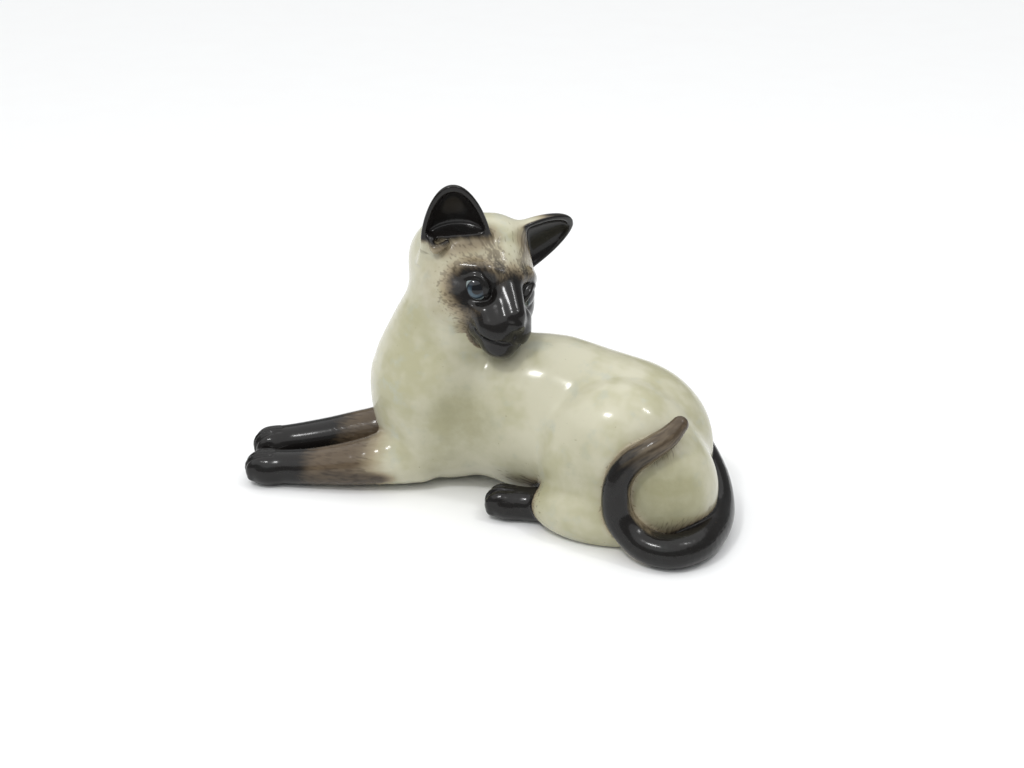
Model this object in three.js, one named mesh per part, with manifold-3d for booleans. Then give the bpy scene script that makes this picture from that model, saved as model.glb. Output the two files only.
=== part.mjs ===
// A seal-point Siamese cat figurine in glazed earthenware, lying with its forelegs stretched
// out, its head turned back over its left shoulder and its tail curled over its left haunch.
// It is modelled as the sections that a figurine maker slip-casts and lutes together:
// a hollow torso, a hollow head, two ears, two forelegs, two hind feet and the tail.
//
// Millimetres, +Z up. The cat lies along X with its forepaws towards -X, its left side
// faces -Y, and it stands on the plane Z = 0.

import * as THREE from "three";
import { mergeVertices } from "three/addons/utils/BufferGeometryUtils.js";
import Module from "manifold-3d";

const wasm = await Module();
wasm.setup();

// ---------------------------------------------------------------- driving dimensions
const WALL = 4.5; // thickness of the slip-cast wall
const LUTE = 0.3; // slip joint left between two sections
const NECK_JOINT = { at: [-18, 4, 61.5], lean: 14 }; // flat joint, leaning so that the chin clears it
const VENT = { at: [13, 0], radius: 3 }; // hole in the underside that lets the kiln air out
const CENTRE = [-1.41, -7.15]; // middle of the finished figurine, which becomes the origin
const FAR = 400; // size of the blocks that trim a section to one side of a plane

// A swept form follows its points; sizes are its half width and half height at each of them.
// Its ends are domes whose depth is a share of the smaller of the two, 1 for a round end.
const TRUNK = {
  points: [
    [-39, 4, 29], [-35, 4, 29], [-28, 4, 29], [-15, 4, 29.5], [0, 3.2, 29.5], [20, 2, 30],
    [38, 0.5, 28], [53, -0.5, 25.5], [66, -1, 23.5], [74, -1, 22],
  ],
  sizes: [
    [14.5, 19.5], [18.2, 23.6], [21.5, 28], [23, 30.3], [22.3, 30.5], [23.5, 31], [25.5, 31],
    [26.5, 30.4], [22.5, 25.5], [15.5, 17.5],
  ],
  dome: 0.45,
};
const NECK = {
  points: [[-22, 4, 42], [-19.5, 4.5, 55], [-15, 5.5, 67], [-12, 6.5, 78]],
  sizes: [[23.5, 23.5], [20.5, 20.5], [18, 18], [17.5, 17.5]],
};
const HAUNCHES = {
  leftThigh: { at: [50, -14, 25.5], radii: [29.5, 21.5, 29] },
  leftShank: { at: [48, -26.5, 9], radii: [27, 13.5, 12] },
  leftFlank: { at: [69, -19.5, 17.5], radii: [17.8, 18.6, 22] },
  rightThigh: { at: [48, 9, 21], radii: [28, 16, 24] },
};

const HEAD = {
  at: [-6, 6, 80],
  yaw: -44, // which way the face looks, from +X, in degrees
  pitch: 3, // nose down
  roll: -20, // left side down
};
// Head sections in the head's own frame: +X out of the face, +Y to the cat's left, +Z up.
const SKULL = {
  points: [
    [-24.5, 0, 3], [-17, 0, 3], [-7.5, 0, 3], [4, 0, 1.5], [12, 0, -1], [18, 0, -4.5], [23, 0, -7.5],
    [26.5, 0, -9.3],
  ],
  sizes: [
    [14, 12], [19.5, 16.4], [22.5, 18.7], [21, 17.5], [15, 14.3], [9.8, 10.8], [8, 8.3], [6, 6],
  ],
  dome: 0.5,
};
const FEATURES = [
  { at: [29.8, 0, -6.4], radii: [2.8, 3.6, 2.6] }, // nose leather
  { at: [22.3, 0, -16], radii: [6, 5.7, 4] }, // chin
];
const PAIRED_FEATURES = [
  { at: [2.5, 10.5, -6.6], radii: [13.5, 9.9, 10.6] }, // cheek
  { at: [24, 4.2, -11.2], radii: [6, 5.1, 4.7] }, // whisker pad
  { at: [12.2, 9.4, 0.8], radii: [6.2, 5.4, 5.2] }, // eye
];

// An ear is a cupped shell that stands on the skull between a point near the crown and one
// at the side of the head.
const EARS = {
  left_ear: { inner: [5.2, 6.2, 19.2], outer: [-4.2, 23.5, 7.8], tip: [1, 29, 27.5], halfWidth: 13.6 },
  right_ear: { inner: [5.7, -8.8, 18.6], outer: [-4.2, -23.5, 7.8], tip: [1, -26.5, 31.5], halfWidth: 12.6 },
};
const EAR = { depth: 7.6, shell: 2.6, roundness: 1.4, root: 0.4, rim: 1.1 };

const LIMBS = {
  left_foreleg: {
    points: [[-28, -7, 13], [-45, -14, 10.2], [-64, -18.5, 7.8], [-80, -20.5, 6.6]],
    sizes: [[12, 12], [9, 9], [7, 7], [6.4, 6.4]],
    paw: { at: [-83, -21, 6.3], radii: [8, 7, 6.6] },
  },
  right_foreleg: {
    points: [[-28, 18, 16], [-45, 12, 12], [-65, 2.8, 9.8], [-83, -4.4, 8]],
    sizes: [[12, 12], [9, 9], [7.4, 7.4], [6.8, 6.8]],
    paw: { at: [-86.5, -6, 7.7], radii: [8.4, 7.2, 7.4] },
  },
  left_hind_foot: {
    points: [[42, -22.5, 7], [29, -23, 6.3], [16, -23.5, 6.1]],
    sizes: [[8, 8], [6.4, 6.4], [6.2, 6.2]],
    paw: { at: [13.5, -23.5, 6], radii: [8, 6.6, 6.2] },
  },
  right_hind_foot: {
    points: [[42, 18, 7], [29, 21, 6.3], [18, 22, 6.1]],
    sizes: [[8, 8], [6.4, 6.4], [6.2, 6.2]],
    paw: { at: [15.5, 22, 6], radii: [8, 6.6, 6.2] },
  },
};
// Toes sit on the front of a paw; all but the radius are shares of the paw's own radii.
const TOES = { count: 4, radius: 2.5, reach: 0.66, spread: 0.66, height: 0.62 };

const TAIL = {
  points: [
    [74, 12, 19], [82, 1, 12.5], [86, -11, 7.6], [86.2, -23, 6.5], [83.5, -33.5, 6.3], [78.6, -40, 6.1],
    [73, -42.6, 6], [66.5, -42, 6.4], [60.6, -40.4, 9], [55.3, -38.9, 14.6], [53.8, -38.2, 21.5],
    [54.4, -37.2, 28.6], [58, -35.6, 35], [64, -33.6, 39.8], [69.6, -30.4, 43.6], [73, -27, 47.2],
  ],
  sizes: [7, 6.8, 6.5, 6.3, 6.2, 6.1, 6, 5.9, 5.6, 5.3, 5.1, 4.9, 4.7, 4.4, 3.9, 3].map((r) => [r, r]),
};

// ---------------------------------------------------------------- materials
const creamGlaze = new THREE.MeshStandardMaterial({ color: 0xcfcbb4, roughness: 0.15, metalness: 0 });
const brownGlaze = new THREE.MeshStandardMaterial({ color: 0x2b2825, roughness: 0.15, metalness: 0 });

// ---------------------------------------------------------------- solids
function solidOf(geometry) {
  const bare = geometry.clone();
  bare.deleteAttribute("normal");
  bare.deleteAttribute("uv");
  const merged = mergeVertices(bare, 1e-4);
  return new wasm.Manifold(
    new wasm.Mesh({
      numProp: 3,
      vertProperties: merged.attributes.position.array,
      triVerts: new Uint32Array(merged.index.array),
    }),
  );
}

function joined(solids) {
  return solids.reduce((all, one) => all.add(one));
}

// A section that a cut has left in several pieces is its largest one.
function largest(solid) {
  return solid.decompose().sort((a, b) => b.volume() - a.volume())[0];
}

function meshOf(solid, name, material) {
  const { vertProperties, triVerts, numProp, numVert } = largest(solid).getMesh();
  const positions = new Float32Array(numVert * 3);
  for (let i = 0; i < numVert; i++) {
    positions.set(vertProperties.subarray(i * numProp, i * numProp + 3), i * 3);
  }
  const geometry = new THREE.BufferGeometry();
  geometry.setAttribute("position", new THREE.BufferAttribute(positions, 3));
  geometry.setIndex(new THREE.BufferAttribute(triVerts, 1));
  geometry.computeVertexNormals();
  const mesh = new THREE.Mesh(geometry, material);
  mesh.name = name;
  return mesh;
}

// A sphere stretched to three radii, each of them changed by grow. Its poles lie along X.
function ellipsoid({ at, radii }, grow = 0, sides = 16) {
  const geometry = new THREE.SphereGeometry(1, sides, Math.round(sides * 0.6));
  geometry.rotateZ(Math.PI / 2);
  geometry.scale(...radii.map((r) => r + grow));
  geometry.translate(...at);
  return geometry;
}

// Where each ring of a swept form lies, how wide and high it is, and which way it faces.
function ringsAlong({ points, sizes, dome = 1 }, grow, steps) {
  const path = new THREE.CatmullRomCurve3(points.map((p) => new THREE.Vector3(...p)));
  const girth = new THREE.CatmullRomCurve3(sizes.map(([w, h]) => new THREE.Vector3(w, h, 0)));
  const domeAngles = [90, 60, 30].map(THREE.MathUtils.degToRad);
  const domes = domeAngles.map((a) => ({ t: 0, along: -Math.sin(a), share: Math.cos(a) }));
  const ends = domes.map(({ along, share }) => ({ t: 1, along: -along, share })).reverse();
  const middle = Array.from({ length: steps + 1 }, (_, i) => ({ t: i / steps, along: 0, share: 1 }));

  const firstTangent = path.getTangent(0);
  let across = Math.abs(firstTangent.y) < 0.7 ? new THREE.Vector3(0, 1, 0) : new THREE.Vector3(1, 0, 0);
  return [...domes, ...middle, ...ends].map(({ t, along, share }) => {
    const tangent = path.getTangent(t);
    const size = girth.getPoint(t).addScalar(grow);
    across = across.clone().addScaledVector(tangent, -across.dot(tangent)).normalize();
    const up = tangent.clone().cross(across);
    const reach = along * dome * Math.min(size.x, size.y);
    const centre = path.getPoint(t).addScaledVector(tangent, reach);
    return { centre, across, up, width: size.x * share, height: size.y * share };
  });
}

// A turned bar, one unit between its rings, that is bent along a smooth curve and swollen to
// the given sizes. Both of its ends are domed.
function swept(form, { grow = 0, sides = 16, steps = 12 } = {}) {
  const rings = ringsAlong(form, grow, steps);
  const last = rings.length - 1;
  const profile = rings.map((_, i) => new THREE.Vector2(i === 0 || i === last ? 0 : 1, i));
  const geometry = new THREE.LatheGeometry(profile, sides);
  const vertices = geometry.attributes.position;
  for (let i = 0; i < vertices.count; i++) {
    const ring = rings[Math.round(vertices.getY(i))];
    const p = ring.centre.clone();
    p.addScaledVector(ring.across, -ring.width * vertices.getX(i));
    p.addScaledVector(ring.up, ring.height * vertices.getZ(i));
    vertices.setXYZ(i, p.x, p.y, p.z);
  }
  return geometry;
}

// A block that fills everything above a height.
function above(z) {
  return new THREE.BoxGeometry(FAR, FAR, FAR).translate(0, 0, z + FAR / 2);
}

// A block that fills everything on the head's side of the neck joint.
function aboveJoint(gap) {
  const block = above(gap).rotateX(THREE.MathUtils.degToRad(NECK_JOINT.lean));
  return block.translate(...NECK_JOINT.at);
}

// ---------------------------------------------------------------- torso
// The trunk with both haunches and the lower neck, which stops at the neck joint.
function torsoForm(grow) {
  const trunk = solidOf(swept(TRUNK, { grow, sides: 28, steps: 24 }));
  const neck = solidOf(swept(NECK, { grow, sides: 24, steps: 5 }));
  const haunches = Object.values(HAUNCHES).map((part) => solidOf(ellipsoid(part, grow, 24)));
  const lowerBody = joined([trunk, neck, ...haunches]).intersect(solidOf(above(0)));
  return lowerBody.subtract(solidOf(aboveJoint(grow)));
}

function torsoCavity() {
  const trunk = solidOf(swept(TRUNK, { grow: -WALL, sides: 18, steps: 14 }));
  const throat = solidOf(swept(NECK, { grow: -WALL, sides: 16, steps: 4 }));
  return trunk.add(throat).intersect(solidOf(above(WALL)));
}

function makeTorso() {
  const drill = new THREE.CylinderGeometry(VENT.radius, VENT.radius, 3 * WALL, 20);
  drill.rotateX(Math.PI / 2);
  drill.translate(...VENT.at, WALL / 2);
  const shell = torsoForm(0).subtract(torsoCavity()).subtract(solidOf(drill));
  return meshOf(shell, "torso_shell", creamGlaze);
}

// ---------------------------------------------------------------- head
const head = new THREE.Group();
head.position.set(...HEAD.at);
head.rotation.set(
  THREE.MathUtils.degToRad(HEAD.roll),
  THREE.MathUtils.degToRad(HEAD.pitch),
  THREE.MathUtils.degToRad(HEAD.yaw),
  "ZYX",
);
head.updateMatrixWorld(true);
const intoHead = head.matrixWorld.clone().invert();

function acrossHead({ at: [x, y, z], radii }) {
  return { at: [x, -y, z], radii };
}

// The closed outside of the skull with the upper neck, in the head's frame.
function headForm(grow) {
  const skull = solidOf(swept(SKULL, { grow, sides: 20, steps: 14 }));
  const wholeNeck = solidOf(swept(NECK, { grow, sides: 24, steps: 5 }));
  const neck = wholeNeck.intersect(solidOf(aboveJoint(LUTE))).transform(intoHead.elements);
  const features = [...FEATURES, ...PAIRED_FEATURES, ...PAIRED_FEATURES.map(acrossHead)];
  return joined([skull, neck, ...features.map((part) => solidOf(ellipsoid(part, grow, 14)))]);
}

function headCavity() {
  const backOfSkull = { ...SKULL, points: SKULL.points.slice(0, 5), sizes: SKULL.sizes.slice(0, 5) };
  const skull = solidOf(swept(backOfSkull, { grow: -WALL, sides: 16, steps: 6 }));
  const throat = solidOf(swept(NECK, { grow: -WALL, sides: 16, steps: 4 }).applyMatrix4(intoHead));
  return skull.add(throat);
}

function makeHead() {
  const back = torsoForm(LUTE).transform(intoHead.elements);
  const shell = headForm(0).subtract(headCavity()).subtract(back);
  return meshOf(shell, "head_shell", creamGlaze);
}

// ---------------------------------------------------------------- ears
// An oval dome whose outline narrows from its foot to a rounded tip. It goes on below its foot.
function earDome(halfWidth, depth, height) {
  const levels = 9;
  const profile = [new THREE.Vector2(0, -EAR.root * height)];
  for (let i = 0; i < levels; i++) {
    const share = -EAR.root + ((1 + EAR.root) * i) / levels;
    const radius = halfWidth * Math.sqrt(1 - Math.abs(share) ** EAR.roundness);
    profile.push(new THREE.Vector2(radius, share * height));
  }
  profile.push(new THREE.Vector2(0, height));
  return new THREE.LatheGeometry(profile, 20).scale(1, 1, depth / halfWidth);
}

function makeEar(name, side) {
  const { halfWidth, ...marks } = EARS[name];
  const [inner, outer, tip] = Object.values(marks).map((p) => new THREE.Vector3(...p));
  const foot = inner.clone().lerp(outer, 0.5);
  const rise = tip.clone().sub(foot);
  const up = rise.clone().normalize();
  const across = outer.clone().sub(inner).multiplyScalar(side);
  across.addScaledVector(up, -across.dot(up)).normalize();
  const forward = across.clone().cross(up);
  const standing = new THREE.Matrix4().makeBasis(across, up, forward).setPosition(foot);

  const { depth, shell, rim } = EAR;
  const inFront = solidOf(above(rim));
  const hollow = earDome(halfWidth - shell, depth - shell, rise.length() - shell);
  const cup = solidOf(earDome(halfWidth, depth, rise.length()));
  const ear = cup.subtract(inFront).subtract(solidOf(hollow.translate(0, 0, rim)));
  return meshOf(ear.transform(standing.elements).subtract(headForm(LUTE)), name, brownGlaze);
}

// ---------------------------------------------------------------- legs, feet and tail
function pawForm({ at, radii }, grow) {
  const toes = Array.from({ length: TOES.count }, (_, i) => {
    const across = (2 * i) / (TOES.count - 1) - 1;
    const reach = radii[0] * TOES.reach * (1 - 0.2 * across * across);
    return {
      at: [at[0] - reach, at[1] + radii[1] * TOES.spread * across, at[2] * TOES.height],
      radii: [TOES.radius * 1.5, TOES.radius, TOES.radius * 1.4],
    };
  });
  const pad = solidOf(ellipsoid({ at, radii }, grow, 14));
  return joined([pad, ...toes.map((toe) => solidOf(ellipsoid(toe, grow, 8)))]);
}

function limbForm(name, grow) {
  const limb = LIMBS[name];
  return solidOf(swept(limb, { grow, sides: 14, steps: 7 })).add(pawForm(limb.paw, grow));
}

// A limb ends where it meets the sections that it is luted to.
function makeLimb(name, neighbours) {
  const whole = limbForm(name, 0).intersect(solidOf(above(0)));
  return meshOf(neighbours.reduce((rest, one) => rest.subtract(one), whole), name, brownGlaze);
}

function makeTail(torso) {
  const rope = solidOf(swept(TAIL, { sides: 12, steps: 36 })).intersect(solidOf(above(0)));
  return meshOf(rope.subtract(torso), "tail", brownGlaze);
}

// ---------------------------------------------------------------- assembly
const torso = torsoForm(LUTE);

head.add(makeHead());
head.add(makeEar("left_ear", 1));
head.add(makeEar("right_ear", -1));

const figurine = new THREE.Group();
figurine.position.set(-CENTRE[0], -CENTRE[1], 0);
figurine.add(makeTorso());
figurine.add(head);
figurine.add(makeLimb("right_foreleg", [torso]));
figurine.add(makeLimb("left_foreleg", [torso, limbForm("right_foreleg", LUTE)]));
figurine.add(makeLimb("left_hind_foot", [torso]));
figurine.add(makeLimb("right_hind_foot", [torso]));
figurine.add(makeTail(torso));

export default figurine;
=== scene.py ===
import math
import time
import bpy
import bmesh
import numpy as np
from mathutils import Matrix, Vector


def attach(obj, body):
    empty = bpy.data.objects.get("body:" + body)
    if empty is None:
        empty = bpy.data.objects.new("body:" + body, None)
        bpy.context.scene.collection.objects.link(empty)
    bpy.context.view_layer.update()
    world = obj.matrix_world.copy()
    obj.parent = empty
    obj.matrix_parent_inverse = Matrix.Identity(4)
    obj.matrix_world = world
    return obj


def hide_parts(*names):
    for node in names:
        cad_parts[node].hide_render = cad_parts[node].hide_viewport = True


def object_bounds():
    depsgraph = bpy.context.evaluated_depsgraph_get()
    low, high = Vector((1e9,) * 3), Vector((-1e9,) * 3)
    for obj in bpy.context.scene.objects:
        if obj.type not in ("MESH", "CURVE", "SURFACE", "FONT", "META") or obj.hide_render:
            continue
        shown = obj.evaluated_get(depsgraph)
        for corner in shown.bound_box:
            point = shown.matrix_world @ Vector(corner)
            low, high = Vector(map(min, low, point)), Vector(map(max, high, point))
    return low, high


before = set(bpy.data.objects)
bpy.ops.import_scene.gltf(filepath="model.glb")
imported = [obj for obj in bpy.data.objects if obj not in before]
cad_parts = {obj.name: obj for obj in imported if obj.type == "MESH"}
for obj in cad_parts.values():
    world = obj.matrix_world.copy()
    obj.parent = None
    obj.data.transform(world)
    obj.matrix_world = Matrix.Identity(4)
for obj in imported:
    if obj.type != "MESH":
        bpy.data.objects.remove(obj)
import openvdb
from mathutils import Matrix, Vector
from mathutils.kdtree import KDTree

started = time.time()
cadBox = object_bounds()


def report(stage):
    print(f"{stage}: {time.time() - started:.0f} s")


# the clay model is worked in millimetres and set down where the cast sections lie
sculpt = dict(low=(-95.67, -48.63, 0.0), length=188.52, wall=4.5, vent=(13, 0, 3.0))
unit = (cadBox[1][0] - cadBox[0][0]) / sculpt["length"]
shift = np.array([cadBox[0][k] - sculpt["low"][k] * unit for k in range(3)])
fineness = 1.0  # how coarse the cells are


def smoothMin(a, b, blend):
    h = np.maximum(blend - np.abs(a - b), 0) / blend
    return np.minimum(a, b) - h * h * h * blend / 6


def smoothMax(a, b, blend):
    return -smoothMin(-a, -b, blend)


def smoothStep(low, high, x):
    t = np.clip((x - low) / (high - low), 0, 1)
    return t * t * (3 - 2 * t)


def turn(yaw, pitch, roll):
    z, y, x = np.radians([yaw, pitch, roll])
    aboutZ = np.array([[np.cos(z), -np.sin(z), 0], [np.sin(z), np.cos(z), 0], [0, 0, 1]])
    aboutY = np.array([[np.cos(y), 0, np.sin(y)], [0, 1, 0], [-np.sin(y), 0, np.cos(y)]])
    aboutX = np.array([[1, 0, 0], [0, np.cos(x), -np.sin(x)], [0, np.sin(x), np.cos(x)]])
    return aboutZ @ aboutY @ aboutX


# forms: a distance function with the box that it fills
def ball(at, radii):
    at, radii = np.array(at, np.float32), np.array(radii, np.float32)

    def distance(p):
        q = p - at
        a = np.sqrt(((q / radii) ** 2).sum(-1)) + 1e-6
        b = np.sqrt(((q / (radii * radii)) ** 2).sum(-1)) + 1e-6
        return a * (a - 1) / b

    return distance, at - radii, at + radii


def threaded(points, radii, between):
    # a smooth line through the points, with its radius
    p = np.array(points, float)
    r = np.array(radii, float)
    p = np.vstack([2 * p[0] - p[1], p, 2 * p[-1] - p[-2]])
    r = np.concatenate([r[:1], r, r[-1:]])
    line, girth = [], []
    for i in range(len(points) - 1):
        for t in np.arange(between) / between:
            w = np.array([-t + 2 * t**2 - t**3, 2 - 5 * t**2 + 3 * t**3,
                          t + 4 * t**2 - 3 * t**3, t**3 - t**2]) / 2
            line.append(w @ p[i:i + 4])
            girth.append(w @ r[i:i + 4])
    return np.array(line + [p[-2]]), np.array(girth + [r[-2]])


def rope(points, radii, between=4):
    line, girth = threaded(points, radii, between)

    def distance(p):
        nearest = None
        for a, b, ra, rb in zip(line[:-1], line[1:], girth[:-1], girth[1:]):
            d = (b - a).astype(np.float32)
            q = p - a.astype(np.float32)
            t = np.clip((q @ d) / (d @ d), 0, 1)
            q = q - t[..., None] * d
            one = np.sqrt((q * q).sum(-1)) - (ra + (rb - ra) * t)
            nearest = one if nearest is None else np.minimum(nearest, one)
        return nearest

    reach = girth.max()
    return distance, line.min(0) - reach, line.max(0) + reach


class Clay:
    # signed distance on a grid of points; each tool works only in the box it reaches
    def __init__(self, low, high, cell):
        self.low, self.cell = np.array(low, float), cell
        self.count = np.ceil((np.array(high, float) - self.low) / cell).astype(int) + 1
        self.field = np.full(self.count, 8.0, np.float32)

    def inBox(self, low, high):
        a = np.clip(np.floor((np.array(low) - self.low) / self.cell).astype(int), 0, self.count)
        b = np.clip(np.ceil((np.array(high) - self.low) / self.cell).astype(int) + 1, 0, self.count)
        axes = [(self.low[k] + self.cell * np.arange(a[k], b[k])).astype(np.float32) for k in range(3)]
        return tuple(slice(i, j) for i, j in zip(a, b)), axes

    def work(self, form, how, pad):
        distance, low, high = form
        place, axes = self.inBox(low - pad, high + pad)
        if min(len(axis) for axis in axes) == 0:
            return
        points = np.stack(np.meshgrid(*axes, indexing="ij"), -1)
        self.field[place] = how(self.field[place], distance(points))

    def add(self, form, blend):
        self.work(form, lambda old, new: smoothMin(old, new, blend), blend + 3)

    def cut(self, form, blend):
        self.work(form, lambda old, new: smoothMax(old, -new, blend), blend + 3)

    def mesh(self, name):
        grid = openvdb.FloatGrid(8.0)
        grid.copyFromArray(np.ascontiguousarray(self.field))
        points, quads = grid.convertToQuads(0.0)
        return meshFrom(name, np.array(points) * self.cell + self.low, np.array(quads))


def meshFrom(name, points, quads):
    mesh = bpy.data.meshes.new(name)
    mesh.vertices.add(len(points))
    mesh.vertices.foreach_set("co", points.astype(np.float32).ravel())
    mesh.loops.add(quads.size)
    mesh.loops.foreach_set("vertex_index", quads.astype(np.int32).ravel())
    mesh.polygons.add(len(quads))
    mesh.polygons.foreach_set("loop_start", np.arange(0, quads.size, quads.shape[1], dtype=np.int32))
    mesh.update(calc_edges=True)
    mesh.validate()
    return mesh


# the trunk with its haunches and neck
body = dict(
    chest=((-20, 4, 31), (27, 23, 31.5)),
    waist=((20, 2, 30.5), (39, 23, 30.8)),
    rump=((49, -1, 24), (33.5, 27, 31.5)),
    farHaunch=((48, 9, 20), (28, 16, 24)),
    thigh=((50, -14, 25.5), (29.5, 21.5, 29)),
    shank=((48, -26.5, 9), (27, 13.5, 12)),
    flank=((69, -19.5, 17.5), (17.8, 18.6, 22)),
    neck=[(-22, 4, 42), (-19.8, 4.5, 55), (-16, 5.5, 67), (-13, 6.5, 78)],
    neckRadii=[24, 20.8, 18.6, 18],
)


def shapeBody(clay):
    clay.add(ball(*body["rump"]), 1)
    clay.add(ball(*body["waist"]), 14)
    clay.add(ball(*body["chest"]), 14)
    clay.add(ball(*body["farHaunch"]), 6)
    clay.add(ball(*body["thigh"]), 3)
    clay.add(ball(*body["shank"]), 7)
    clay.add(ball(*body["flank"]), 6)
    clay.add(rope(body["neck"], body["neckRadii"]), 8)


# each limb: its line from the body to the paw, its thickness, and the paw's pad and toes
limbs = dict(
    left_foreleg=dict(
        line=[(-28, -7, 13), (-45, -14, 10.2), (-64, -18.5, 7.8), (-80, -20.5, 6.6)], radii=[12, 9, 7, 6.4],
        paw=(-83, -21, 6.3), pawRadii=(8.6, 7.4, 6.8), heading=188, toes=4, blend=4,
    ),
    right_foreleg=dict(
        line=[(-28, 18, 16), (-45, 12, 12), (-65, 2.8, 9.8), (-83, -4.4, 8)], radii=[12, 9, 7.4, 6.8],
        paw=(-86, -6.2, 7.6), pawRadii=(8.4, 7.3, 7.4), heading=203, toes=4, blend=4,
    ),
    left_hind_foot=dict(
        line=[(42, -22.5, 7), (29, -23, 6.3), (16, -23.5, 6)], radii=[8, 6.4, 6.1],
        paw=(11.5, -23.8, 5.9), pawRadii=(8, 6.7, 6.1), heading=180, toes=3, blend=2.2,
    ),
    right_hind_foot=dict(
        line=[(42, 18, 7), (29, 21, 6.3), (18, 22, 6)], radii=[8, 6.4, 6.1],
        paw=(14.5, 22.3, 5.9), pawRadii=(8, 6.7, 6.1), heading=180, toes=3, blend=2.2,
    ),
)


def overPaw(limb, across, path):
    # a line that runs forward over the paw, at one place across it
    c, s = math.cos(math.radians(limb["heading"])), math.sin(math.radians(limb["heading"]))
    ahead, side = np.array([c, s, 0]), np.array([-s, c, 0])
    at, (long, wide, high) = np.array(limb["paw"]), limb["pawRadii"]
    squeeze = 1 - 0.36 * across**2
    return [at + ahead * a * long * squeeze + side * across * wide * (0.82 + 0.1 * a)
            + np.array([0, 0, h * high * squeeze]) for a, h in path]


toePath = [(-0.15, 0.62), (0.32, 0.55), (0.64, 0.18), (0.66, -0.34)]
groovePath = [(-0.35, 1.0), (0.2, 1.0), (0.68, 0.74), (0.96, 0.18), (0.9, -0.5)]


def shapeLimbs(clay):
    for limb in limbs.values():
        clay.add(rope(limb["line"], limb["radii"]), limb["blend"])
        clay.add(ball(limb["paw"], limb["pawRadii"]), 2.5)
        count, wide = limb["toes"], limb["pawRadii"][1]
        for i in range(count):
            across = 0.78 * (2 * (i + 0.5) / count - 1)
            thick = wide * 1.02 / count
            girth = [thick * 0.9, thick * 1.15, thick * 1.2, thick]
            clay.add(rope(overPaw(limb, across, toePath), girth, 3), 1.6)
        for i in range(count - 1):
            across = 0.86 * (2 * (i + 1) / count - 1)
            clay.cut(rope(overPaw(limb, across, groovePath), [0.2, 0.55, 0.8, 0.8, 0.5], 3), 1.3)


# the head's own frame: forward out of the face, left, up
head = dict(at=(-6, 6, 80), yaw=-44, pitch=3, roll=-20, size=1.04)
headTurn = turn(head["yaw"], head["pitch"], head["roll"]).astype(np.float32)


def intoHead(p):
    return ((p - np.array(head["at"], np.float32)) @ headTurn) / head["size"]


def outOfHead(q):
    return np.array(head["at"]) + head["size"] * (headTurn @ np.array(q, float))


def onHead(form, mirrored=False):
    distance, low, high = form
    if mirrored:
        low = np.array([low[0], -high[1], low[2]])
    corners = [outOfHead([(low, high)[i][0], (low, high)[j][1], (low, high)[k][2]])
               for i in (0, 1) for j in (0, 1) for k in (0, 1)]

    def placed(p):
        q = intoHead(p)
        if mirrored:
            q = np.concatenate([q[..., :1], np.abs(q[..., 1:2]), q[..., 2:]], -1)
        return distance(q) * head["size"]

    return placed, np.min(corners, 0), np.max(corners, 0)


def unitVector(v):
    return np.array(v, float) / np.linalg.norm(v)


# an eye and its lids: across runs to the outer corner
eye = dict(at=(11.2, 8.6, 0.3), radius=6.1, out=(0.80, 0.60, 0.06), slant=14)
eyeOut = unitVector(eye["out"])
eyeAcross = unitVector(np.cross((0, 0, 1), eyeOut))
eyeUp = np.cross(eyeOut, eyeAcross)
slantCos, slantSin = math.cos(math.radians(eye["slant"])), math.sin(math.radians(eye["slant"]))
eyeAcross, eyeUp = eyeAcross * slantCos + eyeUp * slantSin, eyeUp * slantCos - eyeAcross * slantSin
upperLid = [(-0.82, -0.30), (-0.52, 0.30), (0.0, 0.64), (0.46, 0.52), (0.84, 0.08)]
lowerLid = [(-0.82, -0.30), (-0.46, -0.60), (0.0, -0.68), (0.46, -0.44), (0.84, 0.08)]


def onEye(across, up, radius):
    forward = math.sqrt(max(1 - across * across - up * up, 0.02))
    return np.array(eye["at"]) + radius * (eyeAcross * across + eyeUp * up + eyeOut * forward)


skull = dict(
    cranium=((-7.5, 0, 2.5), (23, 21.8, 18)), cheek=((3, 10.5, -6), (13, 9.8, 10.5)),
    jaw=[(-2, 0, -8), (15, 0, -13)], muzzle=[(6, 0, -3), (21, 0, -8.6)], bridge=[(8, 0, 8.2), (25, 0, -3.4)],
    pad=((22, 3.8, -10.6), (5.8, 5.0, 4.6)), chin=((21.5, 0, -15.6), (6.4, 6.2, 4.6)),
    nose=((27.2, 0, -6.2), (2.5, 3.2, 2.2)),
    brow=[(15.2, 3.6, 7), (12.6, 9.5, 7.2), (7.8, 14.5, 5.2)], socket=((17.8, 11.8, 0.2), (3.8, 5.8, 4)),
    crown=((-2, 2.5, 8.5), (13, 13, 14.6)), side=[(15.5, 7, -3.5), (21, 5.6, -9)],
)


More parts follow.
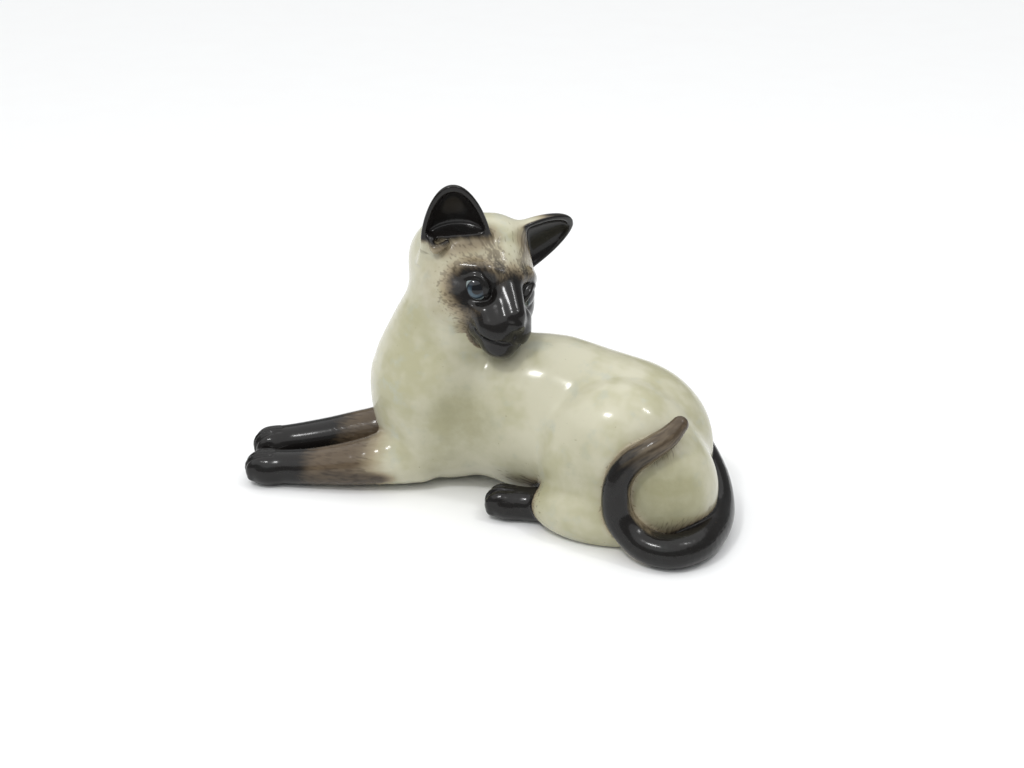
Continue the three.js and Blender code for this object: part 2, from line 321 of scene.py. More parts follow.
def shapeHead(clay):
    clay.add(onHead(ball(*skull["cranium"])), 6)
    clay.add(onHead(ball(*skull["cheek"]), True), 8)
    clay.add(onHead(rope(skull["jaw"], [11, 6.3], 1)), 6)
    clay.add(onHead(rope(skull["muzzle"], [11, 6.6], 1)), 6)
    clay.add(onHead(rope(skull["bridge"], [7, 3.6], 1)), 6)
    clay.add(onHead(ball(*skull["crown"])), 5)
    clay.add(onHead(rope(skull["side"], [5.6, 5.0], 1), True), 5)
    clay.add(onHead(ball(*skull["pad"]), True), 4.5)
    clay.add(onHead(ball(*skull["chin"])), 3)
    clay.add(onHead(rope(skull["brow"], [2.4, 2.6, 2.4]), True), 4)
    clay.cut(onHead(ball(*skull["socket"]), True), 4)
    clay.add(onHead(ball(eye["at"], (eye["radius"],) * 3), True), 0.8)
    for lid, radius in ((upperLid, 0.9), (lowerLid, 0.55)):
        line = [onEye(a, u, eye["radius"] + 0.1) for a, u in lid]
        clay.add(onHead(rope(line, [0.4, radius, radius, radius, 0.4], 3), True), 2.2)
    clay.add(onHead(ball(*skull["nose"])), 1.8)
    shapeMouth(clay)


def headForms(q):
    # roughly how far a point lies from the face, the skull and the jaw
    m = np.stack([q[:, 0], np.abs(q[:, 1]), q[:, 2]], -1)
    nearest = np.minimum(ball(*skull["cranium"])[0](q), ball(*skull["cheek"])[0](m))
    nearest = np.minimum(nearest, rope(skull["jaw"], [11, 6.3], 1)[0](q))
    nearest = np.minimum(nearest, rope(skull["muzzle"], [11, 6.6], 1)[0](q))
    nearest = np.minimum(nearest, rope(skull["side"], [5.6, 5.0], 1)[0](m))
    return np.minimum(nearest, np.minimum(ball(*skull["chin"])[0](q), ball(*skull["pad"])[0](m)))


def shapeMouth(clay):
    clay.add(onHead(rope([(24, 0, -12.6), (20.5, 4.6, -13), (16, 6, -12.4)], [4.0, 3.6, 3.4], 2), True), 3)
    clay.cut(onHead(rope([(29.4, 0, -8.6), (29.2, 0, -10.4), (28.6, 0, -12)], [0.25, 0.4, 0.4], 2)), 1.4)
    line = [(28.6, 0, -12.2), (27.4, 3.6, -13.1), (24, 7.6, -13), (19, 10, -11.6)]
    clay.cut(onHead(rope(line, [0.4, 0.4, 0.4, 0.2], 3), True), 1.6)
    clay.cut(onHead(rope([(29.8, 1.6, -6.5), (28.7, 3.1, -6.9)], [0.4, 0.3], 1), True), 0.9)


# an ear stands on the line between its inner and outer foot
ears = dict(
    left_ear=dict(inner=(4.0, 6.0, 19.2), outer=(-4, 23, 8), tip=(1.5, 28.8, 26.4),
                  halfWidth=13.2, foot=5, dipped=(0.25, 0.8)),
    right_ear=dict(inner=(5.5, -8.5, 18.5), outer=(-4, -23, 8), tip=(2, -24.4, 30.2),
                   halfWidth=11.9, foot=2.8, dipped=(0.6, 1.0)),
)
earCup = dict(depth=7.6, innerDepth=6.4, shell=1.6, front=1.2)


def earAxes(ear):
    inner, outer, tip = (np.array(ear[k], float) for k in ("inner", "outer", "tip"))
    foot = (inner + outer) / 2
    up = unitVector(tip - foot)
    across = outer - inner
    across = unitVector(across - up * (across @ up))
    out = np.cross(up, across)
    return foot, up, across, out * np.sign(out[0]), np.linalg.norm(tip - foot)


def earForms(ear):
    foot, up, across, out, height = earAxes(ear)

    def cup(halfWidth, depth, tall, forward):
        def distance(p):
            q = p - foot.astype(np.float32)
            v, u, w = q @ up.astype(np.float32), q @ across.astype(np.float32), q @ out.astype(np.float32)
            t = np.clip(v / tall, -0.6, 1)
            s = np.sqrt(np.clip(1 - np.sign(t) * np.abs(t) ** 1.4, 0, 2))
            a, b = halfWidth * s + 1e-3, depth * s + 1e-3
            side = (np.sqrt((u / a) ** 2 + ((w - forward) / b) ** 2) - 1) * np.minimum(a, b)
            return np.maximum(np.maximum(side, v - tall), -v - 0.45 * tall), w, v
        return distance

    shell = cup(ear["halfWidth"], earCup["depth"], height + 0.8, 0.5)
    hollow = cup(ear["halfWidth"] - earCup["shell"], earCup["innerDepth"], height - 1.4, 1.6)

    def outside(p):
        d, w, v = shell(p)
        return smoothMax(d, w - earCup["front"], 1.2)

    def inside(p):
        d, w, v = hollow(p)
        return smoothMax(d, 1.5 - v - 0.35 * w, 2.5)

    reach = np.full(3, height + 8)
    return (outside, foot - reach, foot + reach), (inside, foot - reach, foot + reach)


# a small fold of skin at the outer foot of the right ear
earFold = dict(
    rim=[(2.2, -19.6, 11.2), (1.4, -22.6, 8.2), (-1.8, -23.2, 10.2)],
    pocket=[(0.6, -20.8, 11.2), (-0.2, -22.0, 9.8)],
)


def shapeEars(clay):
    for ear in ears.values():
        outside, inside = earForms(ear)
        clay.add(onHead(outside), ear["foot"])
        clay.cut(onHead(inside), 1.0)
    clay.add(onHead(rope(earFold["rim"], [1.0, 1.7, 1.2], 3)), 3.0)
    clay.cut(onHead(rope(earFold["pocket"], [0.8, 1.1], 2)), 1.2)


tail = dict(
    line=[(74, 12, 19), (82, 1, 12.5), (86, -11, 7.6), (86.2, -23, 6.5), (83.5, -33.5, 6.3), (78.6, -40, 6.1),
          (73, -42.6, 6), (66.5, -42, 6.4), (60.6, -40.4, 9), (55.3, -38.9, 14.6), (53.8, -38.2, 21.5),
          (54.4, -37.2, 28.6), (58, -35.6, 35), (64, -33.6, 39.8), (69.6, -30.4, 43.6), (73, -27, 47.2)],
    radii=[7, 6.8, 6.5, 6.3, 6.2, 6.1, 6, 5.9, 5.6, 5.3, 5.1, 4.9, 4.7, 4.4, 3.9, 3],
)


def shapeCat(clay):
    shapeBody(clay)
    shapeLimbs(clay)
    shapeHead(clay)
    shapeEars(clay)
    clay.add(rope(tail["line"], tail["radii"]), 1.2)
    axis = clay.low[2] + clay.cell * np.arange(clay.count[2])
    clay.field = smoothMax(clay.field, -axis.astype(np.float32)[None, None, :], 0.6)


# a noise that repeats from run to run: smooth random values on a lattice of whole numbers
lattice = np.random.default_rng(7).random((64, 64, 64)).astype(np.float32)


def noise(p):
    base = np.floor(p).astype(int)
    t = p - base
    t = t * t * (3 - 2 * t)
    out = 0
    for i in (0, 1):
        for j in (0, 1):
            for k in (0, 1):
                weight = ((t[..., 0] if i else 1 - t[..., 0]) * (t[..., 1] if j else 1 - t[..., 1])
                          * (t[..., 2] if k else 1 - t[..., 2]))
                corner = (base + np.array([i, j, k])) % 64
                out = out + weight * lattice[corner[..., 0], corner[..., 1], corner[..., 2]]
    return out


# hair strokes that the modeller scratched into the clay, in millimetres
relief = dict(lumps=0.3, lumpSize=10, hair=0.2, hairWidth=1.5, hairLength=6)


def handMade(p):
    finer = 1 - 0.7 * smoothStep(60, 72, p[..., 2])  # the head is worked more smoothly
    lumps = (noise(p / relief["lumpSize"] + 11) - 0.5) * relief["lumps"] * finer
    haunch = np.exp(-(((p - np.array([72, -33, 22])) / np.array([9, 12, 15])) ** 2).sum(-1))
    chest = np.exp(-(((p - np.array([-2, -22, 12])) / np.array([18, 9, 9])) ** 2).sum(-1))
    neck = np.exp(-(((p - np.array([-20, -14, 42])) / np.array([14, 9, 12])) ** 2).sum(-1))
    slanted = np.stack([(p[..., 0] + 0.55 * p[..., 2]) / relief["hairWidth"],
                        p[..., 1] / relief["hairLength"],
                        (p[..., 2] - 0.55 * p[..., 0]) / relief["hairLength"]], -1)
    hairs = np.clip(noise(slanted + 5) - 0.52, 0, 1) * 2
    return lumps - relief["hair"] * hairs * np.clip(haunch + 0.45 * chest + 0.35 * neck, 0, 1)


def readPoints(mesh):
    points = np.empty(len(mesh.vertices) * 3, np.float32)
    mesh.vertices.foreach_get("co", points)
    return points.reshape(-1, 3)


class Tone:
    # a number that a material works out, written as ordinary sums
    def __init__(self, brush, socket):
        self.brush, self.socket = brush, socket

    def sum(self, operation, *others):
        return self.brush.node("Math", {"operation": operation, "use_clamp": False}, {
            i: other for i, other in enumerate((self,) + others)})

    def __add__(self, other):
        return self.sum("ADD", other)

    def __mul__(self, other):
        return self.sum("MULTIPLY", other)

    def __sub__(self, other):
        return self.sum("SUBTRACT", other)

    def __rsub__(self, other):
        return self.brush.node("Math", {"operation": "SUBTRACT"}, {0: other, 1: self})

    __radd__, __rmul__ = __add__, __mul__

    def ramp(self, low, high):
        # 0 below low, 1 above high, smooth between them
        return self.brush.node("MapRange", {"interpolation_type": "SMOOTHSTEP"},
                               {"Value": self, "From Min": low, "From Max": high})


class Brush:
    # the nodes of one material
    def __init__(self, name):
        self.material = bpy.data.materials.new(name)
        self.material.use_nodes = True
        self.tree = self.material.node_tree
        self.glaze = self.tree.nodes["Principled BSDF"]

    def node(self, kind, settings=None, sockets=None, out=0):
        made = self.tree.nodes.new("ShaderNode" + kind)
        for key, value in (settings or {}).items():
            setattr(made, key, value)
        for key, value in (sockets or {}).items():
            self.feed(made.inputs[key], value)
        return Tone(self, made.outputs[out])

    def feed(self, socket, value):
        if isinstance(value, Tone):
            self.tree.links.new(value.socket, socket)
        elif isinstance(value, tuple) and len(value) == 3 and socket.type == "RGBA":
            socket.default_value = (*value, 1)
        else:
            socket.default_value = value

    def mix(self, factor, a, b):
        made = self.tree.nodes.new("ShaderNodeMix")
        made.data_type = "RGBA"
        for socket, value in ((made.inputs[0], factor), (made.inputs[6], a), (made.inputs[7], b)):
            self.feed(socket, value)
        return Tone(self, made.outputs[2])

    def noise(self, vector, scale, detail=2.0, roughness=0.5):
        return self.node("TexNoise", {}, {"Vector": vector, "Scale": scale,
                                          "Detail": detail, "Roughness": roughness})

    def finish(self, **sockets):
        for key, value in sockets.items():
            self.feed(self.glaze.inputs[key.replace("_", " ")], value)
        return self.material


def rgb(r, g, b):
    # a colour, as light
    return tuple(((v / 255 + 0.055) / 1.055) ** 2.4 if v > 10 else v / 255 / 12.92 for v in (r, g, b))


# the underglaze colours, and how large their marks are in millimetres
underglaze = dict(
    cream=rgb(195, 192, 170), olive=rgb(168, 165, 132), grey=rgb(176, 181, 170),
    # moss: the darker colour of the painted shade patches
    beige=rgb(150, 137, 112), shadeMoss=rgb(146, 143, 112),
    brown=rgb(88, 75, 60), hairBrown=rgb(66, 54, 40), black=rgb(24, 22, 21), teal=rgb(40, 46, 45),
    patchSize=17, cloudSize=7,
)


def paintedGlaze(name):
    brush = Brush(name)
    split = brush.node("SeparateXYZ", {}, {0: brush.node("Attribute", {"attribute_name": "paint"}, {}, 1)})
    dark, warm = split, Tone(brush, split.socket.node.outputs[1])
    strands = Tone(brush, split.socket.node.outputs[2])
    hair = brush.node("Attribute", {"attribute_name": "hair"}, {}, 1)
    place = brush.node("TexCoord", {}, {}, 3)
    patches = brush.noise(place, 1000 / underglaze["patchSize"], 3)
    clouds = brush.noise(place, 1000 / underglaze["cloudSize"], 4, 0.6)
    stroke = brush.noise(hair, 1.0, 2, 0.6)
    fineStroke = brush.noise(hair, 2.3, 0.5, 0.4)

    body = brush.mix(patches.ramp(0.42, 0.66) * 0.75, underglaze["cream"], underglaze["olive"])
    body = brush.mix(clouds.ramp(0.52, 0.72) * 0.45, body, underglaze["grey"])
    shade = brush.node("Attribute", {"attribute_name": "shade"}, {}, 2)
    # painted shade: where the shade patches lie, the coat turns towards a darker moss
    body = brush.mix((shade * (clouds * 0.9 + 0.55)).ramp(0.0, 1.0) * 0.95, body, underglaze["shadeMoss"])
    wash = warm + (stroke - 0.5) * 0.22 * warm.ramp(0.0, 0.15)
    body = brush.mix(wash.ramp(0.0, 0.7) * 0.9, body, underglaze["beige"])
    body = brush.mix(wash.ramp(0.45, 1.05), body, underglaze["brown"])
    line = (strands + (fineStroke - 0.5) * 2.1).ramp(0.6, 1.0)
    body = brush.mix(line * 0.42, body, underglaze["hairBrown"])
    cover = (dark + (stroke - 0.5) * 0.3 + (fineStroke - 0.5) * 0.25).ramp(0.22, 0.85)
    thin = (clouds * 0.6 + stroke * 0.4).ramp(0.45, 0.8)
    ink = brush.mix(thin * 0.35, underglaze["black"], underglaze["teal"])
    body = brush.mix(cover, body, ink)

    specks = brush.noise(place, 1300, 1).ramp(0.79, 0.82) * 0.5
    body = brush.mix(specks, body, underglaze["hairBrown"])
    dimples = brush.noise(place, 260, 2)
    ripples = brush.noise(place, 900, 2)
    bump = brush.node("Bump", {}, {"Strength": 0.25, "Distance": 0.00012,
                                   "Height": dimples + ripples * 0.25 + line * 0.6})
    rough = 0.13 + clouds * 0.1 + line * 0.05
    return brush.finish(Base_Color=body, Roughness=rough, Normal=bump, Coat_Weight=0.12,
                        Coat_Roughness=0.05, IOR=1.34)


def bareEarthenware():
    brush = Brush("bare earthenware")
    place = brush.node("TexCoord", {}, {}, 3)
    grain, stain = brush.noise(place, 1500, 4, 0.7), brush.noise(place, 90, 3)
    body = brush.mix(stain.ramp(0.35, 0.75), rgb(226, 217, 200), rgb(203, 189, 166))
    body = brush.mix(grain.ramp(0.62, 0.75) * 0.4, body, rgb(150, 132, 110))
    bump = brush.node("Bump", {}, {"Strength": 0.5, "Distance": 0.0001, "Height": grain})
    return brush.finish(Base_Color=body, Roughness=0.75 + grain * 0.15, Normal=bump)


creamGlaze, darkGlaze = paintedGlaze("cream glaze"), paintedGlaze("dark glaze")
bareClay = bareEarthenware()


uncut = {}  # each section's skin before it is cut


def castMesh(name, low, high, cell):
    # the figure inside a box, closed where the box ends
    clay = Clay(low, high, cell * fineness)
    shapeCat(clay)
    for k in range(3):
        axis = (clay.low[k] + clay.cell * np.arange(clay.count[k])).astype(np.float32)
        wall = np.maximum(low[k] + 2.5 * clay.cell - axis, axis - high[k] + 2.5 * clay.cell)
        shape = [1, 1, 1]
        shape[k] = -1
        clay.field = np.maximum(clay.field, wall.reshape(shape))
    mesh = clay.mesh(name)
    normals = np.empty(len(mesh.vertices) * 3, np.float32)
    mesh.vertices.foreach_get("normal", normals)
    points = readPoints(mesh)
    out = points + normals.reshape(-1, 3) * handMade(points)[:, None] * smoothStep(0.5, 2.5, points[:, 2:3])
    mesh.vertices.foreach_set("co", out.astype(np.float32).ravel())
    mesh.materials.append(creamGlaze if "shell" in name else darkGlaze)
    mesh.update()
    piece = bpy.data.objects.new(name, mesh)
    bpy.context.scene.collection.objects.link(piece)
    uncut[name] = mesh.copy()
    return piece


def toolFrom(mesh):
    mesh.materials.append(bareClay)
    tool = bpy.data.objects.new("tool", mesh)
    bpy.context.scene.collection.objects.link(tool)
    return tool


def solidFrom(form, cell=1.5):
    distance, low, high = form
    clay = Clay(low - 4, high + 4, cell)
    clay.add(form, 0.1)
    return toolFrom(clay.mesh("tool"))


def block(corner, axes, size):
    # a box from one corner, with its sides along three directions
    mesh = bpy.data.meshes.new("block")
    solid = bmesh.new()
    bmesh.ops.create_cube(solid, size=1)
    turned = Matrix([[float(axes[j][i]) for j in range(3)] for i in range(3)])
    for v in solid.verts:
        v.co = Vector(corner) + turned @ Vector([(v.co[k] + 0.5) * size[k] for k in range(3)])
    if turned.determinant() < 0:
        bmesh.ops.reverse_faces(solid, faces=solid.faces)
    solid.to_mesh(mesh)
    solid.free()
    return toolFrom(mesh)


def carve(piece, operation, *tools):
    for tool in tools:
        step = piece.modifiers.new("cut", "BOOLEAN")
        step.operation, step.solver, step.object = operation, "MANIFOLD", tool
        step.material_mode = "TRANSFER"
        evaluated = piece.evaluated_get(bpy.context.evaluated_depsgraph_get())
        old, cutMesh = piece.data, bpy.data.meshes.new_from_object(evaluated)
        piece.modifiers.clear()
        piece.data = cutMesh
        bpy.data.meshes.remove(old)


def scrap(*tools):
    for tool in tools:
        bpy.data.objects.remove(tool)


# the size of the cells that each section is cast in, in millimetres
cellSize = dict(limb=0.45, ear=0.35, head=0.42, torso=0.62)

# the neck joint leans, so that the chin stays on the head
neckJoint = dict(through=(-18, 4, 61.5), lean=0.25)
neckNormal = unitVector((0, -neckJoint["lean"], 1))
neckSide = unitVector((0, 1, neckJoint["lean"]))
reachAll = 300  # longer than the figure


def aboveNeck():
    corner = np.array(neckJoint["through"]) - np.array([1, 0, 0]) * reachAll / 2 - neckSide * reachAll / 2
    return block(corner, (Vector((1, 0, 0)), neckSide, neckNormal), (reachAll,) * 3)


def hollowSolid():
    # the hollow that slip casting leaves, a wall's thickness inside
    clay = Clay((-60, -48, -2), (94, 42, 112), 2.0)
    shapeBody(clay)
    clay.add(onHead(ball(*skull["cranium"])), 6)
    clay.add(onHead(ball(*skull["cheek"]), True), 8)
    clay.field += sculpt["wall"]
    axis = clay.low[2] + clay.cell * np.arange(clay.count[2])
    clay.field = smoothMax(clay.field, (sculpt["wall"] - axis).astype(np.float32)[None, None, :], 1)
    return toolFrom(clay.mesh("hollow"))


def widened(line, radii, extra, start=0):
    return rope(line[start:], [r + extra for r in radii[start:]])


def joinedSleeve(sleeves):
    # the room that both forelegs take up, as one tool
    if "both" not in sleeves:
        both = sleeves["left_foreleg"].copy()
        both.data = both.data.copy()
        bpy.context.scene.collection.objects.link(both)
        carve(both, "UNION", sleeves["right_foreleg"])
        sleeves["both"] = both
    return sleeves["both"]


def makeSections():
    made = {}
    neckAbove, hollow = aboveNeck(), hollowSolid()
    ventX, ventY, ventRadius = sculpt["vent"]
    vent = solidFrom(rope([(ventX, ventY, -4), (ventX, ventY, 12)], [ventRadius] * 2, 1), 0.5)

    # both forelegs, parted by an upright plane between the paws
    left, right = limbs["left_foreleg"], limbs["right_foreleg"]
    sleeves = {}
    for name, limb in limbs.items():
        start = 1 if "fore" in name else 0
        line = limb["line"][start:] + [tuple(np.array(limb["paw"]) + np.array([-5, 0, 0]))]
        if "hind" in name:
            line = line[1:]
        extra = 4.5 if "fore" in name else 2.6
        radii = (limb["radii"][start:] + [limb["pawRadii"][1]]) if "fore" in name else [6.6, 6.6, 6.9]
        sleeves[name] = solidFrom(rope(line, [r + extra for r in radii]), 1.2)
    partFrom, partTo = np.array([-33, 2.6, -20.0]), np.array([-92, -14.2, -20.0])
    along = unitVector(partTo - partFrom)
    outward = np.array([-along[1], along[0], 0])
    sign = 1 if outward[1] < 0 else -1
    leftSide = block(partFrom - along * 150, (along, outward * sign, np.array([0, 0, 1.0])), (reachAll,) * 3)

    for name in ("left_foreleg", "right_foreleg"):
        piece = castMesh(name, (-101, -38, -2), (-18, 38, 34), cellSize["limb"])
        carve(piece, "INTERSECT", joinedSleeve(sleeves))
        carve(piece, "INTERSECT" if name == "left_foreleg" else "DIFFERENCE", leftSide)
        made[name] = piece
    for name, low, high in (("left_hind_foot", (-2, -36, -2), (46, -8, 24)),
                            ("right_hind_foot", (0, 8, -2), (50, 36, 24))):
        piece = castMesh(name, low, high, cellSize["limb"])
        carve(piece, "INTERSECT", sleeves[name])
        made[name] = piece

    tailSleeve = solidFrom(widened(tail["line"], tail["radii"], 0.7), 1.0)
    piece = castMesh("tail", (44, -56, -2), (98, 26, 56), cellSize["limb"])
    carve(piece, "INTERSECT", tailSleeve)
    made["tail"] = piece

    earTools = {}
    for name, ear in ears.items():
        foot, up, across, out, height = earAxes(ear)
        corner = foot - across * 17 - out * 12 + up * 0.3
        ends = [headTurn.astype(float) @ v for v in (across, out, up)]
        earTools[name] = block(outOfHead(corner), ends, (34 * head["size"], 24 * head["size"], 40))
        middle = outOfHead(foot + up * height * 0.55)
        piece = castMesh(name, middle - 23, middle + 23, cellSize["ear"])
        carve(piece, "INTERSECT", earTools[name])
        made[name] = piece

    piece = castMesh("head_shell", (-48, -42, 48), (34, 36, 112), cellSize["head"])
    carve(piece, "INTERSECT", neckAbove)
    carve(piece, "DIFFERENCE", *earTools.values(), hollow)
    made["head_shell"] = piece

    piece = castMesh("torso_shell", (-54, -50, -2), (92, 42, 74), cellSize["torso"])
    carve(piece, "DIFFERENCE", neckAbove, joinedSleeve(sleeves), sleeves["left_hind_foot"],
          sleeves["right_hind_foot"], tailSleeve, hollow, vent)
    made["torso_shell"] = piece
    scrap(neckAbove, hollow, vent, leftSide, tailSleeve, *sleeves.values(), *earTools.values())
    return made


def readAll(collection, name, width, kind):
    values = np.empty(len(collection) * width, kind)
    collection.foreach_get(name, values)
    return values.reshape(-1, width) if width > 1 else values


def sameSkin(mesh, skin):
    # the outside keeps the shading of the uncut skin, so that no joint shows in the glaze
    mesh.polygons.foreach_set("use_smooth", np.ones(len(mesh.polygons), bool))
    bare = readAll(mesh.polygons, "material_index", 1, np.int32) > 0
    totals = readAll(mesh.polygons, "loop_total", 1, np.int32)
    bareLoop = np.repeat(bare, totals)
    vertexOf = readAll(mesh.loops, "vertex_index", 1, np.int32)
    edgeOf = readAll(mesh.loops, "edge_index", 1, np.int32)
    onBare, onGlaze = np.zeros(len(mesh.edges), bool), np.zeros(len(mesh.edges), bool)
    onBare[edgeOf[bareLoop]] = True
    onGlaze[edgeOf[~bareLoop]] = True
    sharp = mesh.attributes.new("sharp_edge", "BOOLEAN", "EDGE") if "sharp_edge" not in mesh.attributes \
        else mesh.attributes["sharp_edge"]
    sharp.data.foreach_set("value", onBare & onGlaze)
    near = np.zeros(len(mesh.vertices), bool)
    near[vertexOf[bareLoop]] = True
    faceOf = np.repeat(np.arange(len(totals)), totals)
    for ring in range(2):
        touched = np.zeros(len(totals), bool)
        touched[faceOf[near[vertexOf] & ~bareLoop]] = True
        near[vertexOf[touched[faceOf] & ~bareLoop]] = True
    normals = readAll(mesh.corner_normals, "vector", 3, np.float32)
    wanted = near & np.isin(np.arange(len(near)), vertexOf[~bareLoop])
    points, skinNormals = readPoints(skin), readAll(skin.vertices, "normal", 3, np.float32)
    tree = KDTree(len(points))
    for i, point in enumerate(points):
        tree.insert(point, i)
    tree.balance()
    own = readPoints(mesh)
    smooth = np.zeros((len(near), 3), np.float32)
    for i in np.flatnonzero(wanted):
        found = tree.find_n(own[i], 4)
        smooth[i] = sum(skinNormals[j] / (d + 0.02) for _, j, d in found)
    change = wanted[vertexOf] & ~bareLoop
    normals[change] = smooth[vertexOf[change]]
    normals /= np.linalg.norm(normals, axis=1, keepdims=True) + 1e-9
    mesh.normals_split_custom_set(normals.tolist())


def along(p, line):
    # distance to a line, and how far along it the nearest point is
    best, where, offset, travelled = np.full(len(p), 1e6), np.zeros(len(p)), np.zeros_like(p), 0.0
    for a, b in zip(line[:-1], line[1:]):
        d = (b - a).astype(np.float32)
        q = p - a.astype(np.float32)
        length = float(np.linalg.norm(d))
        t = np.clip((q @ d) / length**2, 0, 1)
        q = q - t[:, None] * d
        far = np.linalg.norm(q, axis=1)
        closer = far < best
        best = np.where(closer, far, best)
        where = np.where(closer, travelled + t * length, where)
        offset = np.where(closer[:, None], q, offset)
        travelled += length
    return best, where, offset, travelled


# the painted mask of the face, and the darker olive patches on the coat, which are mostly painted shade under
# the chin, low on the belly and thigh and inside the tail loop
mask = dict(
    muzzle=((22, 0, -9), (12.5, 12, 13.5)), eyePatch=((13, 10, 0.2), (8.6, 8.4, 7.6)),
    bridge=[(27, 0, -6), (22, 0, 0), (18.5, 0, 4)], bridgeRadii=[6, 6, 4.5],
    olive=[((-8, -20, 38), (16, 14, 13), 0.75), ((70, -35, 22), (14, 12, 17), 0.95),
           ((30, -26, 12), (16, 12, 12), 0.5), ((5, -22, 22), (22, 12, 14), 0.35),
           ((-18, -16, 14), (14, 12, 12), 0.45), ((40, -30, 30), (9, 12, 16), 0.4),
           ((-22, -12, 66), (9, 12, 9), 0.3), ((30, -14, 52), (16, 14, 8), 0.25)],
    streak=[(15, 4.8, 8.5), (10.5, 6.2, 13), (6, 8.2, 18)],
    earFront=[(7, 8.5, 17.6), (6.5, 14, 15), (2.3, 22, 10)],
)


